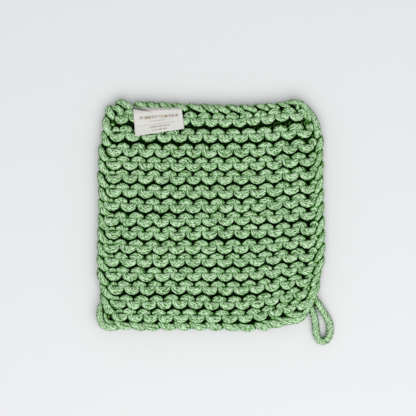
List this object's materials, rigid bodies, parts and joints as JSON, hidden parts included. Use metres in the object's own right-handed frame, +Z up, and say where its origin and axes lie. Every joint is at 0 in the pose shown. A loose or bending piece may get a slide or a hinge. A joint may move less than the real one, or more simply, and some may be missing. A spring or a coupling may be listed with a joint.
{
  "type": "knitted pot holder",
  "caption": "Square hand-knitted garter-stitch pot holder lying flat, thick heathered green cotton yarn, with a yarn hanging loop at one corner and a small blank cloth label.",
  "frame": {"origin": "on the resting surface, under the middle of the pad", "axes": "+Z up through the pad's thickness, +X along the ridges towards the side with the loop, +Y from the cast-on edge to the bind-off edge"},
  "size_m": [0.2102, 0.2156, 0.0159],
  "materials": {
    "knit_yarn": "heathered sage green cotton yarn, matt",
    "loop_yarn": "the same heathered cotton yarn, matt",
    "label_cloth": "off-white woven tape with a slight satin sheen"
  },
  "bodies": {
    "root": {"knit_panel": "knit_yarn", "hanging_loop": "loop_yarn", "woven_label": "label_cloth"}
  },
  "joints": []
}
